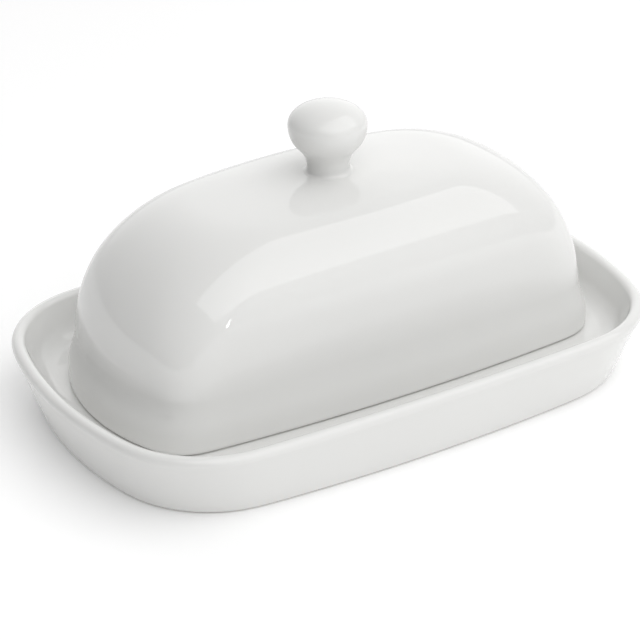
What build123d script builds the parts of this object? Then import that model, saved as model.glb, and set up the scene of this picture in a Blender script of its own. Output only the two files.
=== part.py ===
from build123d import *

import os
from math import acos, cos, pi, radians, sin, sqrt, tan

# A covered butter dish of glazed porcelain. A flared tray carries a loose domed lid, and a ball
# knob is luted to the lid's crown. Millimetres, +X along the dish, +Y across it, +Z up. The
# origin is the centre of the tray's foot, on the table.

# ---- driving dimensions -------------------------------------------------------------------------

# An outline is (half length, half width, corner radius, end sweep, side sweep). A sweep is how
# many degrees a bowed end or side turns between its middle and the corner arc it runs into.
TRAY_RIM = (100.0, 64.1, 36.0, 14.5, 2.6)
TRAY_BASE = (92.9, 58.4, 35.8, 13.1, 5.4)
TRAY_HEIGHT = 23.8
TRAY_WALL = 4.2
BEAD_RADIUS = 2.2
BEAD_OVERHANG = 0.1
HEEL_RADIUS = 1.6
FLOOR_HEIGHT = 11.0
FLOOR_THICKNESS = 5.5
FLOOR_FILLET = 5.0
FOOT_RING_WIDTH = 6.0
FOOT_FILLET = 1.5
RECESS_FILLET = 3.0

LID_FOOT = (86.6, 41.4, 15.5, 25.0, 5.2)
LID_WAIST = (83.4, 40.0, 13.9, 25.0, 5.2)
LID_WALL = 4.0
LID_FOOT_EDGE = 1.2
SKIRT_RISE = 4.5
WAIST_RISE = 17.5
CROWN_HEIGHT = 73.8
CROWN_BOW_ACROSS = 110.0
CROWN_BOW_ALONG = 380.0
SHOULDER_ACROSS = 23.5
SHOULDER_ALONG = 43.5
DRAFT_ACROSS = -1.5
DRAFT_ALONG = 6.5
TOP_CORNER_SHARE = 0.83
TOP_END_SWEEP = 8.0
TOP_SIDE_SWEEP = 12.0
SKIRT_SECTIONS = 6
DOME_SECTIONS = 18
CROWN_GAP = 0.05
ROOF_GAP = 0.6
LID_SET_DOWN = (1.2, 1.7)  # how far the loose lid stands from the tray's middle
LID_TURN = -0.6

KNOB_RADIUS = 12.45
KNOB_UPPER_HEIGHT = 7.1
KNOB_WIDEST_RISE = 15.5
KNOB_UNDERSIDE_REACH = (6.1, 8.1)
ROUNDNESS = 0.5523  # how far a curve's handles reach, so that it draws a quarter ellipse
NECK_RADIUS = 6.7
NECK_RISE = 2.4
KNOB_FOOT_RADIUS = 8.6
KNOB_FOOT_CURVE = 0.8
KNOB_SEAT_DEPTH = 1.5


# ---- outlines -----------------------------------------------------------------------------------


def inset(outline, distance):
    """The outline moved inwards by a distance, square to its edge."""
    half_length, half_width, corner, end_sweep, side_sweep = outline
    return (half_length - distance, half_width - distance, corner - distance, end_sweep, side_sweep)


def blend(first, second, share):
    """The outline part of the way from the first outline to the second."""
    return tuple(a + (b - a) * share for a, b in zip(first, second))


def bowed_rectangle(outline):
    """A rounded rectangle with bowed sides and ends: eight arcs, each tangent to the next."""
    half_length, half_width, corner, end_sweep, side_sweep = outline
    end_tan = tan(radians(end_sweep) / 2)
    side_tan = tan(radians(side_sweep) / 2)
    reach, spread = half_length - corner, half_width - corner
    corner_centre = Vector(
        (reach - end_tan * spread) / (1 - end_tan * side_tan),
        (spread - side_tan * reach) / (1 - end_tan * side_tan),
    )
    end_centre = Vector(corner_centre.X - corner_centre.Y / tan(radians(end_sweep)), 0)
    side_centre = Vector(0, corner_centre.Y - corner_centre.X / tan(radians(side_sweep)))
    end_joint = corner_centre + (corner_centre - end_centre).normalized() * corner
    side_joint = corner_centre + (corner_centre - side_centre).normalized() * corner
    corner_way = (end_joint + side_joint) / 2 - corner_centre
    corner_middle = corner_centre + corner_way.normalized() * corner
    with BuildSketch() as shape:
        with BuildLine():
            ThreePointArc((end_joint.X, -end_joint.Y), (half_length, 0), end_joint)
            ThreePointArc(end_joint, corner_middle, side_joint)
            ThreePointArc(side_joint, (0, half_width), (-side_joint.X, side_joint.Y))
            ThreePointArc(
                (-side_joint.X, side_joint.Y),
                (-corner_middle.X, corner_middle.Y),
                (-end_joint.X, end_joint.Y),
            )
            ThreePointArc((-end_joint.X, end_joint.Y), (-half_length, 0), -end_joint)
            ThreePointArc(-end_joint, -corner_middle, -side_joint)
            ThreePointArc(-side_joint, (0, -half_width), (side_joint.X, -side_joint.Y))
            ThreePointArc(
                (side_joint.X, -side_joint.Y),
                (corner_middle.X, -corner_middle.Y),
                (end_joint.X, -end_joint.Y),
            )
        make_face()
    return shape.sketch


os.makedirs("parts", exist_ok=True)

# ---- tray ---------------------------------------------------------------------------------------


def tray_outline(height, distance):
    """The tray's outer outline at a height, moved inwards by a distance."""
    return inset(blend(TRAY_BASE, TRAY_RIM, height / bead_height), distance)


bead_height = TRAY_HEIGHT - BEAD_RADIUS
recess_height = FLOOR_HEIGHT - FLOOR_THICKNESS
inner_inset = TRAY_WALL + BEAD_OVERHANG

with BuildPart() as tray:
    # the outside: a straight flared wall on a softened heel
    with BuildSketch(Plane.XY):
        add(bowed_rectangle(tray_outline(0, 0)))
    with BuildSketch(Plane.XY.offset(bead_height)):
        add(bowed_rectangle(tray_outline(bead_height, BEAD_OVERHANG)))
    loft(ruled=True)
    fillet(tray.faces().sort_by(Axis.Z)[0].edges(), HEEL_RADIUS)

    # the inside: a flat floor for the lid and the butter, rounded into the wall
    with BuildSketch(Plane.XY.offset(FLOOR_HEIGHT)):
        add(bowed_rectangle(tray_outline(FLOOR_HEIGHT, inner_inset)))
    with BuildSketch(Plane.XY.offset(bead_height)):
        add(bowed_rectangle(tray_outline(bead_height, inner_inset)))
    loft(ruled=True, mode=Mode.SUBTRACT)
    fillet(tray.faces().filter_by(Plane.XY).sort_by(Axis.Z)[1].edges(), FLOOR_FILLET)

    # the underside: hollowed out, which leaves a foot ring that stands on the table
    with BuildSketch(Plane.XY):
        add(bowed_rectangle(tray_outline(0, HEEL_RADIUS + FOOT_RING_WIDTH)))
    extrude(amount=recess_height, mode=Mode.SUBTRACT)
    recess_roof = tray.faces().filter_by(Plane.XY).sort_by(Axis.Z)[1]
    fillet(recess_roof.edges(), RECESS_FILLET)
    ring_face = tray.faces().sort_by(Axis.Z)[0]
    fillet(ring_face.inner_wires()[0].edges(), FOOT_FILLET)

    # the rim: a round bead a little thicker than the wall
    bead_line = bowed_rectangle(inset(TRAY_RIM, BEAD_RADIUS)).wire().moved(Location((0, 0, bead_height)))
    with BuildSketch(Plane(origin=bead_line @ 0, z_dir=bead_line % 0)):
        Circle(BEAD_RADIUS)
    sweep(path=bead_line)

tray.part.label = "tray"
export_step(tray.part, "parts/tray.step")

# ---- lid ----------------------------------------------------------------------------------------


def arch(height, waist_half, draft, shoulder, bow, distance):
    """Half the dome's breadth at a height: a drafted side, a shoulder arc and a bowed crown.

    The distance moves the whole arch inwards, for the inside of the shell.
    """
    lean = radians(draft)
    bow_centre = CROWN_HEIGHT - bow
    side_reach = waist_half * cos(lean) + waist_height * sin(lean)
    turn = lean + acos((side_reach - shoulder - bow_centre * sin(lean)) / (bow - shoulder))
    shoulder_reach = (bow - shoulder) * cos(turn)
    shoulder_height = bow_centre + (bow - shoulder) * sin(turn)
    if height >= shoulder_height + (shoulder - distance) * sin(turn):
        return sqrt((bow - distance) ** 2 - (height - bow_centre) ** 2)
    if height >= shoulder_height + (shoulder - distance) * sin(lean):
        return shoulder_reach + sqrt((shoulder - distance) ** 2 - (height - shoulder_height) ** 2)
    return waist_half - (height - waist_height) * tan(lean) - distance / cos(lean)


def dome_outline(height, distance):
    """The dome's outline at a height: the waist's below, rounding towards an oval at the top."""
    rise = (height - waist_height) / (CROWN_HEIGHT - distance - waist_height)
    length, width, corner, end_sweep, side_sweep = inset(LID_WAIST, distance)
    corner_share, end_sweep, side_sweep = blend(
        (corner / width, end_sweep, side_sweep),
        (TOP_CORNER_SHARE, TOP_END_SWEEP, TOP_SIDE_SWEEP),
        rise,
    )
    half_length = arch(height, LID_WAIST[0], DRAFT_ALONG, SHOULDER_ALONG, CROWN_BOW_ALONG, distance)
    half_width = arch(height, LID_WAIST[1], DRAFT_ACROSS, SHOULDER_ACROSS, CROWN_BOW_ACROSS, distance)
    return (half_length, half_width, half_width * corner_share, end_sweep, side_sweep)


def skirt_outline(height, distance):
    """The lid's outline below the waist: upright at its foot, drawn in smoothly above that."""
    rise = max(0.0, (height - skirt_top) / (waist_height - skirt_top))
    return inset(blend(LID_FOOT, LID_WAIST, (1 - cos(pi * rise)) / 2), distance)


def lid_body(distance, gap):
    """The lid as a full solid, moved inwards by a distance: foot, drawn-in band and dome.

    The dome's top is cut flat a small gap below its crown.
    """
    dome_top = CROWN_HEIGHT - distance - gap
    with BuildPart() as body:
        with BuildSketch(Plane.XY.offset(FLOOR_HEIGHT)):
            add(bowed_rectangle(skirt_outline(FLOOR_HEIGHT, distance)))
        extrude(amount=SKIRT_RISE)
        for step in range(SKIRT_SECTIONS + 1):
            height = skirt_top + (waist_height - skirt_top) * step / SKIRT_SECTIONS
            with BuildSketch(Plane.XY.offset(height)):
                add(bowed_rectangle(skirt_outline(height, distance)))
        loft()
        for step in range(DOME_SECTIONS + 1):
            height = waist_height + (dome_top - waist_height) * sin(pi / 2 * step / DOME_SECTIONS)
            with BuildSketch(Plane.XY.offset(height)):
                add(bowed_rectangle(dome_outline(height, distance)))
        loft()
    return body.part


skirt_top = FLOOR_HEIGHT + SKIRT_RISE
waist_height = FLOOR_HEIGHT + WAIST_RISE
seat_height = CROWN_HEIGHT - KNOB_SEAT_DEPTH
lid_place = Location((*LID_SET_DOWN, 0), (0, 0, LID_TURN))

with BuildPart() as lid_dome:
    # the shell: the outside less the same shape moved in by the wall, rounded where it stands
    add(lid_body(0, CROWN_GAP))
    add(lid_body(LID_WALL, ROOF_GAP), mode=Mode.SUBTRACT)
    fillet(lid_dome.faces().sort_by(Axis.Z)[0].edges(), LID_FOOT_EDGE)

    # a shallow round seat in the crown for the foot of the knob
    with BuildSketch(Plane.XY.offset(seat_height)):
        Circle(KNOB_FOOT_RADIUS)
    extrude(amount=2 * KNOB_SEAT_DEPTH, mode=Mode.SUBTRACT)

dome_part = lid_dome.part.moved(lid_place)
dome_part.label = "lid_dome"
export_step(dome_part, "parts/lid_dome.step")

# ---- knob ---------------------------------------------------------------------------------------

widest_height = CROWN_HEIGHT + KNOB_WIDEST_RISE
knob_top = widest_height + KNOB_UPPER_HEIGHT
neck_top = CROWN_HEIGHT + NECK_RISE

with BuildPart() as lid_knob:
    # a flattened ball tapering into a short neck, turned about the lid's middle
    with BuildSketch(Plane.XZ):
        with BuildLine():
            crown = Bezier(
                (KNOB_RADIUS, widest_height),
                (KNOB_RADIUS, widest_height + ROUNDNESS * KNOB_UPPER_HEIGHT),
                (ROUNDNESS * KNOB_RADIUS, knob_top),
                (0, knob_top),
            )
            underside = Bezier(
                (NECK_RADIUS, neck_top),
                (NECK_RADIUS, neck_top + KNOB_UNDERSIDE_REACH[0]),
                (KNOB_RADIUS, widest_height - KNOB_UNDERSIDE_REACH[1]),
                crown @ 0,
            )
            foot = Bezier(
                (KNOB_FOOT_RADIUS, CROWN_HEIGHT),
                (NECK_RADIUS, CROWN_HEIGHT + KNOB_FOOT_CURVE),
                (NECK_RADIUS, neck_top - KNOB_FOOT_CURVE),
                underside @ 0,
            )
            Polyline(foot @ 0, (KNOB_FOOT_RADIUS, seat_height), (0, seat_height), crown @ 1)
        make_face()
    revolve(axis=Axis.Z)

knob_part = lid_knob.part.moved(lid_place)
knob_part.label = "lid_knob"
export_step(knob_part, "parts/lid_knob.step")
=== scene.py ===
from math import acos, cos, pi, radians, sin, sqrt, tan

import bpy
import numpy as np
from mathutils import Matrix, Vector


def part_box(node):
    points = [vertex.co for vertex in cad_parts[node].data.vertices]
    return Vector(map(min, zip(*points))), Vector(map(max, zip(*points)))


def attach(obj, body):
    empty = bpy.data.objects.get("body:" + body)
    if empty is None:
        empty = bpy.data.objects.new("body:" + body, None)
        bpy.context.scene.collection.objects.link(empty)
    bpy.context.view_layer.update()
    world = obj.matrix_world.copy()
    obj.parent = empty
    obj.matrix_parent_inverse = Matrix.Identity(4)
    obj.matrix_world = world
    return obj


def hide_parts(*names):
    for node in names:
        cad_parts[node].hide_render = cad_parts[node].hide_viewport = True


# A covered butter dish of white glazed porcelain: a flared oblong tray with a rounded rim, and a
# loose domed lid with a ball knob. Metres, in the CAD frame: +X along the dish, +Y across it,
# +Z up, the table at z = 0.

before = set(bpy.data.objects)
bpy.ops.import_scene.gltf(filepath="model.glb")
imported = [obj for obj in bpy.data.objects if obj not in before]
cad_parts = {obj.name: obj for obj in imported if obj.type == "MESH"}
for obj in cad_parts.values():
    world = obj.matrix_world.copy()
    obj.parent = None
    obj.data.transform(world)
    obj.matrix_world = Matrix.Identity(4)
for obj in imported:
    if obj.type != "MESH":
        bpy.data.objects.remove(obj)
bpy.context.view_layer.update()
tray_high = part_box("tray")[1]
dome_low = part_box("lid_dome")[0]
knob_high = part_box("lid_knob")[1]

MM = 0.001

# ---- sizes --------------------------------------------------------------------------------------

# An outline is half length, half width, corner radius, end sweep, side sweep. A sweep is how many
# degrees a bowed end or side turns between its middle and the corner arc it runs into.
TRAY_RIM = (tray_high.x, tray_high.y, 36 * MM, 14.5, 2.6)
TRAY_BASE = (92.9 * MM, 58.4 * MM, 35.8 * MM, 13.1, 5.4)
TRAY_HEIGHT = tray_high.z
TRAY_WALL = 4.5 * MM
BEAD_RADIUS = 2.2 * MM
HEEL_RADIUS = 1.6 * MM
FLOOR_HEIGHT = dome_low.z
FLOOR_THICKNESS = 5.5 * MM
FLOOR_FILLET = 5 * MM
FOOT_RING_WIDTH = 6 * MM
FOOT_FILLET = 1.5 * MM
RECESS_FILLET = 3 * MM

LID_SET_DOWN = (1.2 * MM, 1.7 * MM)  # how far the loose lid stands from the tray's middle
LID_TURN = -0.6
LID_FOOT = (86.6 * MM, 41.4 * MM, 15.5 * MM, 25.0, 5.2)
LID_WAIST = (83.4 * MM, 40 * MM, 13.9 * MM, 25.0, 5.2)
LID_WALL = 4 * MM
LID_EDGE = 1.5 * MM
SKIRT_TOP = FLOOR_HEIGHT + 4.5 * MM
WAIST_HEIGHT = FLOOR_HEIGHT + 17.5 * MM
CROWN_HEIGHT = 73.8 * MM
CROWN_BOW_ACROSS = 110 * MM
CROWN_BOW_ALONG = 380 * MM
SHOULDER_ACROSS = 23.5 * MM
SHOULDER_ALONG = 43.5 * MM
DRAFT_ACROSS = -1.5
DRAFT_ALONG = 6.5
TOP_CORNER_SHARE = 0.83
TOP_END_SWEEP = 8.0
TOP_SIDE_SWEEP = 12.0

KNOB_RADIUS = 12.45 * MM
KNOB_UPPER_HEIGHT = 7.1 * MM
KNOB_WIDEST_RISE = knob_high.z - KNOB_UPPER_HEIGHT - CROWN_HEIGHT
KNOB_UNDERSIDE_REACH = (7.1 * MM, 8.1 * MM)
NECK_RADIUS = 6.7 * MM
NECK_RISE = 1.4 * MM
KNOB_SPREAD = 7.9 * MM
FOOT_CURVE = 0.5 * MM

AROUND = 256  # points in each ring of the tray and the lid
LINE_POINTS = 1024  # points of an outline while it is being smoothed

# ---- outlines -----------------------------------------------------------------------------------
# Plan outlines are arrays of complex numbers, x + iy, starting at +X and going round to +Y.


def inset(outline, distance):
    """The outline moved inwards by a distance, square to its edge."""
    half_length, half_width, corner, end_sweep, side_sweep = outline
    return (half_length - distance, half_width - distance, corner - distance, end_sweep, side_sweep)


def blend(first, second, share):
    """The tuple part of the way from the first tuple to the second."""
    return tuple(a + (b - a) * share for a, b in zip(first, second))


def evenly(line, count):
    """A closed line, given as points, as that many points at equal steps."""
    closed = np.append(line, line[0])
    run = np.append(0, np.cumsum(np.abs(np.diff(closed))))
    steps = np.linspace(0, run[-1], count, endpoint=False)
    return np.interp(steps, run, closed.real) + 1j * np.interp(steps, run, closed.imag)


def soften(line, reach):
    """An evenly stepped closed line, with its bends eased into each other over a reach."""
    step = np.abs(np.diff(line)).mean()
    waves = np.fft.fft(line) * np.exp(-2 * (pi * reach * np.fft.fftfreq(len(line), step)) ** 2)
    return np.fft.ifft(waves)


def bowed_rectangle(outline, softness):
    """A rounded rectangle with bowed sides and ends, as an evenly stepped closed line."""
    half_length, half_width, corner, end_sweep, side_sweep = outline
    end_turn, side_turn = radians(end_sweep), radians(side_sweep)
    end_tan, side_tan = tan(end_turn / 2), tan(side_turn / 2)
    reach, spread = half_length - corner, half_width - corner
    corner_x = (reach - end_tan * spread) / (1 - end_tan * side_tan)
    corner_y = (spread - side_tan * reach) / (1 - end_tan * side_tan)
    end_x = corner_x - corner_y / tan(end_turn)
    side_y = corner_y - corner_x / tan(side_turn)
    arcs = (
        (end_x, half_length - end_x, 0, end_turn),
        (corner_x + 1j * corner_y, corner, end_turn, pi / 2 - side_turn),
        (1j * side_y, half_width - side_y, pi / 2 - side_turn, pi / 2),
    )
    quarter = np.concatenate([c + r * np.exp(1j * np.linspace(a, b, 90)[:-1]) for c, r, a, b in arcs])
    corner_mirror = -np.conj(quarter[:0:-1])
    half = np.concatenate([quarter, [1j * half_width], corner_mirror])
    return soften(evenly(np.concatenate([half, -half]), LINE_POINTS), softness)


def ring(line, count=AROUND):
    """Points along a closed line, spaced by half its length and half its turning."""
    edge = np.roll(line, -1) - line
    turning = np.abs(np.angle(edge / np.roll(edge, 1)))
    run = np.abs(edge)
    gain = run / run.sum() + turning / turning.sum()
    share = np.append(0, np.cumsum(gain))
    places = np.linspace(0, share[-1], count, endpoint=False)
    index = np.arange(len(line) + 1)
    at = np.interp(places, share, index)
    closed = np.append(line, line[0])
    return np.interp(at, index, closed.real) + 1j * np.interp(at, index, closed.imag)


def at_height(plan, height):
    """The plan's points in space, at one height or at a height for each."""
    return np.column_stack([plan.real, plan.imag, np.broadcast_to(height, plan.shape)])


def arc(centre, radius, start, end, steps):
    """Points of an arc in a profile, as (distance, height) pairs, angles in degrees."""
    turns = np.radians(np.linspace(start, end, steps))
    return [(centre[0] + radius * cos(t), centre[1] + radius * sin(t)) for t in turns]


def bezier(handles, steps):
    """Points of a cubic curve by its four handles."""
    first, second, third, last = np.array(handles)
    t = np.linspace(0, 1, steps)[:, None]
    outer_pull = (1 - t) ** 3 * first + t**3 * last
    inner_pull = 3 * t * (1 - t) * ((1 - t) * second + t * third)
    line = outer_pull + inner_pull
    return [tuple(point) for point in line]


# ---- meshes -------------------------------------------------------------------------------------


def skin(name, rings, bare_below=0):
    """A closed glazed mesh over a stack of rings, its first and last ring filled in to a point.

    Below a height the porcelain is left bare, where the piece stood in the kiln.
    """
    count = len(rings[0])
    verts = np.vstack(rings)
    faces = []
    for level in range(len(rings) - 1):
        low, high = level * count, (level + 1) * count
        for i in range(count):
            j = (i + 1) % count
            faces.append((low + i, low + j, high + j, high + i))
    first, last = len(verts), len(verts) + 1
    verts = np.vstack([verts, rings[0].mean(axis=0), rings[-1].mean(axis=0)])
    top = (len(rings) - 1) * count
    for i in range(count):
        j = (i + 1) % count
        faces.append((first, j, i))
        faces.append((last, top + i, top + j))
    mesh = bpy.data.meshes.new(name)
    mesh.from_pydata(verts.tolist(), [], faces)
    mesh.shade_smooth()
    mesh.materials.append(glaze)
    mesh.materials.append(biscuit)
    for face in mesh.polygons:
        if face.center.z < bare_below:
            face.material_index = 1
    mesh.validate()
    piece = bpy.data.objects.new(name, mesh)
    bpy.context.collection.objects.link(piece)
    return piece


# ---- materials ----------------------------------------------------------------------------------


def porcelain_material(name, colour, roughness, wave):
    """Glazed porcelain: a white body with faint cloudiness under a glossy, slightly wavy glaze."""
    material = bpy.data.materials.new(name)
    material.use_nodes = True
    nodes, links = material.node_tree.nodes, material.node_tree.links
    shader = nodes["Principled BSDF"]
    shader.inputs["IOR"].default_value = 1.5
    shader.inputs["Roughness"].default_value = roughness
    place = nodes.new("ShaderNodeTexCoord")

    cloud = nodes.new("ShaderNodeTexNoise")
    cloud.inputs["Scale"].default_value = 22
    cloud.inputs["Detail"].default_value = 3
    links.new(place.outputs["Object"], cloud.inputs["Vector"])
    tint = nodes.new("ShaderNodeValToRGB")
    tint.color_ramp.elements[0].position = 0.3
    tint.color_ramp.elements[0].color = (*(c * 0.985 for c in colour), 1)
    tint.color_ramp.elements[1].position = 0.7
    tint.color_ramp.elements[1].color = (*colour, 1)
    links.new(cloud.outputs["Fac"], tint.inputs["Fac"])
    links.new(tint.outputs["Color"], shader.inputs["Base Color"])

    ripple = nodes.new("ShaderNodeTexNoise")
    ripple.inputs["Scale"].default_value = 45
    ripple.inputs["Detail"].default_value = 1
    links.new(place.outputs["Object"], ripple.inputs["Vector"])
    bump = nodes.new("ShaderNodeBump")
    bump.inputs["Strength"].default_value = 1
    bump.inputs["Distance"].default_value = wave
    links.new(ripple.outputs["Fac"], bump.inputs["Height"])
    links.new(bump.outputs["Normal"], shader.inputs["Normal"])
    return material


glaze = porcelain_material("white_glaze", (0.75, 0.75, 0.737), 0.03, 0.00004)
biscuit = porcelain_material("bare_porcelain", (0.74, 0.72, 0.68), 0.75, 0.0001)

# ---- tray ---------------------------------------------------------------------------------------


def tray_ring(distance, height):
    """A ring of the tray at a height, a distance in from its outer face."""
    share = min(1, height / (TRAY_HEIGHT - BEAD_RADIUS))
    outline = inset(blend(TRAY_BASE, TRAY_RIM, share), distance)
    return at_height(ring(bowed_rectangle(outline, 4 * MM)), height)


def shrunk(ring_points, shares):
    """Copies of a flat ring, drawn in towards its middle."""
    return [ring_points * (share, share, 1) for share in shares]


def rim_arc():
    """The rim's rounded top, from the wall's outside over to its inside: (inset, height)."""
    centre = (BEAD_RADIUS, TRAY_HEIGHT - BEAD_RADIUS)
    lean = (TRAY_RIM[0] - TRAY_BASE[0]) / TRAY_HEIGHT
    return [
        (distance - lean * max(0, centre[1] - height), height)
        for distance, height in arc(centre, BEAD_RADIUS, 195, 16, 24)
    ]


def tray_profile():
    """The tray's section from the foot ring's inner edge round to its floor: (inset, height)."""
    recess = FLOOR_HEIGHT - FLOOR_THICKNESS
    ring_in = HEEL_RADIUS + FOOT_RING_WIDTH
    wall_top = TRAY_HEIGHT - 1.8 * BEAD_RADIUS
    inner_wall = np.linspace(TRAY_HEIGHT - BEAD_RADIUS, FLOOR_HEIGHT + FLOOR_FILLET, 8)
    return (
        arc((ring_in + RECESS_FILLET, recess - RECESS_FILLET), RECESS_FILLET, 90, 180, 9)
        + arc((ring_in - FOOT_FILLET, FOOT_FILLET), FOOT_FILLET, 0, -90, 7)
        + [(HEEL_RADIUS + 2.2 * MM, 0), (HEEL_RADIUS, 0)]
        + arc((HEEL_RADIUS, HEEL_RADIUS), HEEL_RADIUS, -100, -180, 7)
        + [(0, z) for z in np.linspace(3 * MM, wall_top, 10)]
        + rim_arc()
        + [(TRAY_WALL, z) for z in inner_wall]
        + arc((TRAY_WALL + FLOOR_FILLET, FLOOR_HEIGHT + FLOOR_FILLET), FLOOR_FILLET, 180, 270, 12)[1:]
    )


tray_rings = [tray_ring(*place) for place in tray_profile()]
tray_rings = (
    shrunk(tray_rings[0], (0.05, 0.3, 0.6, 0.85, 0.95))
    + tray_rings
    + shrunk(tray_rings[-1], (0.97, 0.9, 0.7, 0.45, 0.2, 0.05))
)
tray = skin("tray_glazed", tray_rings, bare_below=0.3 * MM)
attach(tray, "tray")
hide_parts("tray")

# ---- lid shell ----------------------------------------------------------------------------------


def arch(height, waist_half, draft, shoulder, bow, distance):
    """Half the dome's breadth at a height: a drafted side, a shoulder arc and a bowed crown."""
    lean = radians(draft)
    bow_centre = CROWN_HEIGHT - bow
    side_reach = waist_half * cos(lean) + WAIST_HEIGHT * sin(lean)
    turn = lean + acos((side_reach - shoulder - bow_centre * sin(lean)) / (bow - shoulder))
    shoulder_reach = (bow - shoulder) * cos(turn)
    shoulder_height = bow_centre + (bow - shoulder) * sin(turn)
    if height >= shoulder_height + (shoulder - distance) * sin(turn):
        return sqrt(max(0, (bow - distance) ** 2 - (height - bow_centre) ** 2))
    if height >= shoulder_height + (shoulder - distance) * sin(lean):
        return shoulder_reach + sqrt((shoulder - distance) ** 2 - (height - shoulder_height) ** 2)
    return waist_half - (height - WAIST_HEIGHT) * tan(lean) - distance / cos(lean)


def dome_line(height, distance):
    """The dome's plan outline at a height: the waist's below, rounding towards the crown."""
    top = CROWN_HEIGHT - distance
    rise = (height - WAIST_HEIGHT) / (top - WAIST_HEIGHT)
    _, width, corner, end_sweep, side_sweep = inset(LID_WAIST, distance)
    corner_share, end_sweep, side_sweep = blend(
        (corner / width, end_sweep, side_sweep),
        (TOP_CORNER_SHARE, TOP_END_SWEEP, TOP_SIDE_SWEEP),
        rise,
    )
    half_length = arch(height, LID_WAIST[0], DRAFT_ALONG, SHOULDER_ALONG, CROWN_BOW_ALONG, distance)
    half_width = arch(height, LID_WAIST[1], DRAFT_ACROSS, SHOULDER_ACROSS, CROWN_BOW_ACROSS, distance)
    outline = (half_length, half_width, half_width * corner_share, end_sweep, side_sweep)
    return bowed_rectangle(outline, min(3 * MM, half_width / 6))


def set_down(points):
    """Points of a lid about the dish's middle, as points of the lid where it was set down."""
    plan = (points[:, 0] + 1j * points[:, 1]) * np.exp(1j * radians(LID_TURN)) + complex(*LID_SET_DOWN)
    return at_height(plan, points[:, 2])


def lid_ring(height, distance):
    """A ring of the lid at a height, a distance in from its outer face."""
    if height > WAIST_HEIGHT:
        return at_height(ring(dome_line(height, distance)), height)
    rise = max(0.0, (height - SKIRT_TOP) / (WAIST_HEIGHT - SKIRT_TOP))
    outline = inset(blend(LID_FOOT, LID_WAIST, (1 - cos(pi * rise)) / 2), distance)
    return at_height(ring(bowed_rectangle(outline, 3 * MM)), height)


def lid_heights(distance, count):
    """Heights of a stack of rings from just over the lid's edge to just under its crown."""
    top = CROWN_HEIGHT - distance
    foot = np.linspace(FLOOR_HEIGHT + LID_EDGE, WAIST_HEIGHT, 24)
    turns = np.linspace(0, 1, count)[1:-1]
    return np.append(foot, WAIST_HEIGHT + (top - WAIST_HEIGHT) * np.sin(pi / 2 * turns))


inner = [lid_ring(z, LID_WALL) for z in lid_heights(LID_WALL, 60)]
edge_in = arc((LID_WALL - LID_EDGE, FLOOR_HEIGHT + LID_EDGE), LID_EDGE, 0, -90, 7)
edge_out = arc((LID_EDGE, FLOOR_HEIGHT + LID_EDGE), LID_EDGE, -90, -180, 7)
edge = [lid_ring(z, d) for d, z in edge_in[1:] + edge_out[:-1]]
outer = [lid_ring(z, 0) for z in lid_heights(0, 90)]
shell_rings = inner[::-1] + edge + outer
shell_rings = [set_down(points) for points in shell_rings]
shell = skin("lid_shell_glazed", shell_rings, bare_below=FLOOR_HEIGHT + 0.25 * MM)
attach(shell, "lid")
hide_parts("lid_dome")

# ---- knob ---------------------------------------------------------------------------------------


def crown_height(plan):
    """The height of the dome's surface near its crown, over points in plan."""
    drop = 0
    for _ in range(6):
        drop = plan.real**2 / (2 * CROWN_BOW_ALONG - drop) + plan.imag**2 / (2 * CROWN_BOW_ACROSS - drop)
    return CROWN_HEIGHT - drop


def knob_profile():
    """The knob's section from its spread foot up to its top, as (radius, height over the crown)."""
    foot = (
        (KNOB_SPREAD, 0),
        (NECK_RADIUS + FOOT_CURVE, FOOT_CURVE / 5),
        (NECK_RADIUS, FOOT_CURVE),
        (NECK_RADIUS, NECK_RISE),
    )
    under = (
        (NECK_RADIUS, NECK_RISE),
        (NECK_RADIUS, NECK_RISE + KNOB_UNDERSIDE_REACH[0]),
        (KNOB_RADIUS, KNOB_WIDEST_RISE - KNOB_UNDERSIDE_REACH[1]),
        (KNOB_RADIUS, KNOB_WIDEST_RISE),
    )
    ball = [
        (KNOB_RADIUS * cos(turn), KNOB_WIDEST_RISE + KNOB_UPPER_HEIGHT * sin(turn))
        for turn in np.radians(np.linspace(0, 89, 40))
    ]
    return bezier(foot, 16) + bezier(under, 30)[1:] + ball[1:]


def knob_ring(radius, rise):
    """A ring of the knob: its foot follows the crown, and its neck and ball are level."""
    plan = radius * np.exp(1j * np.linspace(0, 2 * pi, 96, endpoint=False))
    level = 1
    if rise < NECK_RISE:
        level = max(0, (KNOB_SPREAD - radius) / (KNOB_SPREAD - NECK_RADIUS))
        level = min(1, level)
    ground = crown_height(plan)
    return at_height(plan, ground + (CROWN_HEIGHT - ground) * level + rise)


root = [knob_ring(KNOB_SPREAD * share, -0.6 * MM) for share in (0.1, 0.5, 0.8, 0.96)]
knob_rings = root + [knob_ring(*place) for place in knob_profile()]
knob = skin("lid_knob_glazed", [set_down(points) for points in knob_rings])
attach(knob, "lid")
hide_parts("lid_knob")

# ---- floor, light and camera --------------------------------------------------------------------

LAMP_DISTANCE = 1.6


def paper_material():
    """Matt white paper."""
    material = bpy.data.materials.new("white_paper")
    material.use_nodes = True
    shader = material.node_tree.nodes["Principled BSDF"]
    shader.inputs["Base Color"].default_value = (0.97, 0.97, 0.97, 1)
    shader.inputs["Roughness"].default_value = 0.9
    shader.inputs["Emission Color"].default_value = (1, 1, 1, 1)
    shader.inputs["Emission Strength"].default_value = 0.06
    return material


def plane(name, half, material):
    """A flat square centred on the origin."""
    mesh = bpy.data.meshes.new(name)
    corners = [(-half, -half, 0), (half, -half, 0), (half, half, 0), (-half, half, 0)]
    mesh.from_pydata(corners, [], [(0, 1, 2, 3)])
    mesh.materials.append(material)
    piece = bpy.data.objects.new(name, mesh)
    bpy.context.collection.objects.link(piece)
    return piece


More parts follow.
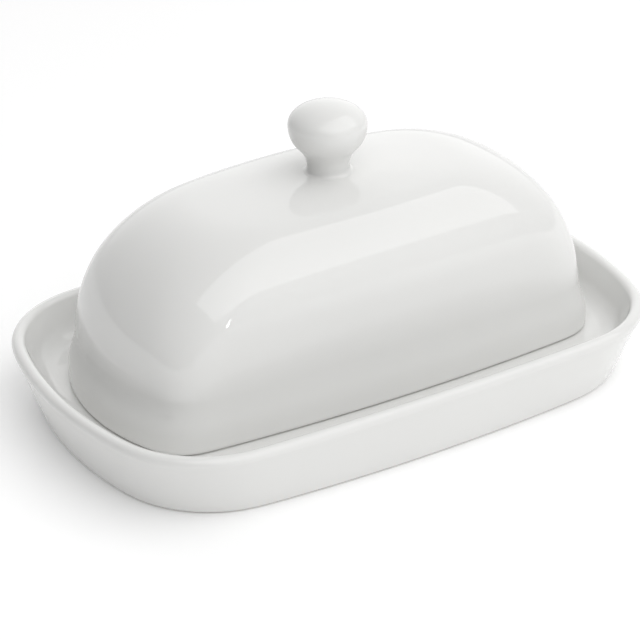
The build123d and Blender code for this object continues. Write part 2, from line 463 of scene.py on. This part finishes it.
def direction(azimuth, elevation):
    """The way from the dish towards something, 0 degrees being the front and 90 the right."""
    turn, rise = radians(azimuth), radians(elevation)
    return Vector((sin(turn) * cos(rise), -cos(turn) * cos(rise), sin(rise)))


def lamp(name, azimuth, elevation, width, height, power):
    """A flat oblong lamp that faces the dish."""
    light = bpy.data.lights.new(name, "AREA")
    light.shape = "RECTANGLE"
    light.size = width
    light.size_y = height
    light.energy = power
    holder = bpy.data.objects.new(name, light)
    away = direction(azimuth, elevation)
    holder.location = away * LAMP_DISTANCE
    holder.rotation_euler = (-away).to_track_quat("-Z", "Y").to_euler()
    bpy.context.collection.objects.link(holder)


def studio_world(base, glows):
    """A dim room with soft glows in it, each given as (azimuth, elevation, strength, tightness)."""
    world = bpy.data.worlds.new("studio")
    world.use_nodes = True
    nodes, links = world.node_tree.nodes, world.node_tree.links
    place = nodes.new("ShaderNodeTexCoord")
    total = nodes.new("ShaderNodeValue")
    total.outputs[0].default_value = base
    for azimuth, elevation, strength, tightness in glows:
        facing = nodes.new("ShaderNodeVectorMath")
        facing.operation = "DOT_PRODUCT"
        facing.inputs[1].default_value = direction(azimuth, elevation)
        links.new(place.outputs["Generated"], facing.inputs[0])
        ahead = nodes.new("ShaderNodeMath")
        ahead.operation = "MAXIMUM"
        ahead.inputs[1].default_value = 0
        links.new(facing.outputs["Value"], ahead.inputs[0])
        falloff = nodes.new("ShaderNodeMath")
        falloff.operation = "POWER"
        falloff.inputs[1].default_value = tightness
        links.new(ahead.outputs["Value"], falloff.inputs[0])
        glow = nodes.new("ShaderNodeMath")
        glow.operation = "MULTIPLY_ADD"
        glow.inputs[1].default_value = strength
        links.new(falloff.outputs["Value"], glow.inputs[0])
        links.new(total.outputs[0], glow.inputs[2])
        total = glow
    links.new(total.outputs[0], nodes["Background"].inputs["Strength"])
    nodes["Background"].inputs["Color"].default_value = (1, 1, 1, 1)
    bpy.context.scene.world = world


floor = plane("floor", 3, paper_material())

lamp("front_softbox", 20, 60, 3.0, 1.7, 21.5)
lamp("spark_lamp", -6, 9, 0.04, 0.24, 0.8)
studio_world(0.07, ((12, 25, 0.75, 3), (149, 15, 1.4, 2), (265, 60, 0.4, 4)))
bpy.context.scene.view_settings.view_transform = "Standard"

AZIMUTH, ELEVATION, ROLL = radians(-31.13), radians(28.15), radians(-1.06)
CAMERA_DISTANCE = 0.822
TARGET = Vector((-3.65, 0.34, 22.33)) * MM

lens = bpy.data.cameras.new("camera")
lens.sensor_width = 36
lens.lens = 144.15
camera = bpy.data.objects.new("camera", lens)
bpy.context.collection.objects.link(camera)
back = Vector((sin(AZIMUTH) * cos(ELEVATION), -cos(AZIMUTH) * cos(ELEVATION), sin(ELEVATION)))
camera.location = TARGET + back * CAMERA_DISTANCE
camera.rotation_mode = "QUATERNION"
aim = (-back).to_track_quat("-Z", "Y")
camera.rotation_quaternion = aim @ Matrix.Rotation(ROLL, 3, "Z").to_quaternion()
bpy.context.scene.camera = camera
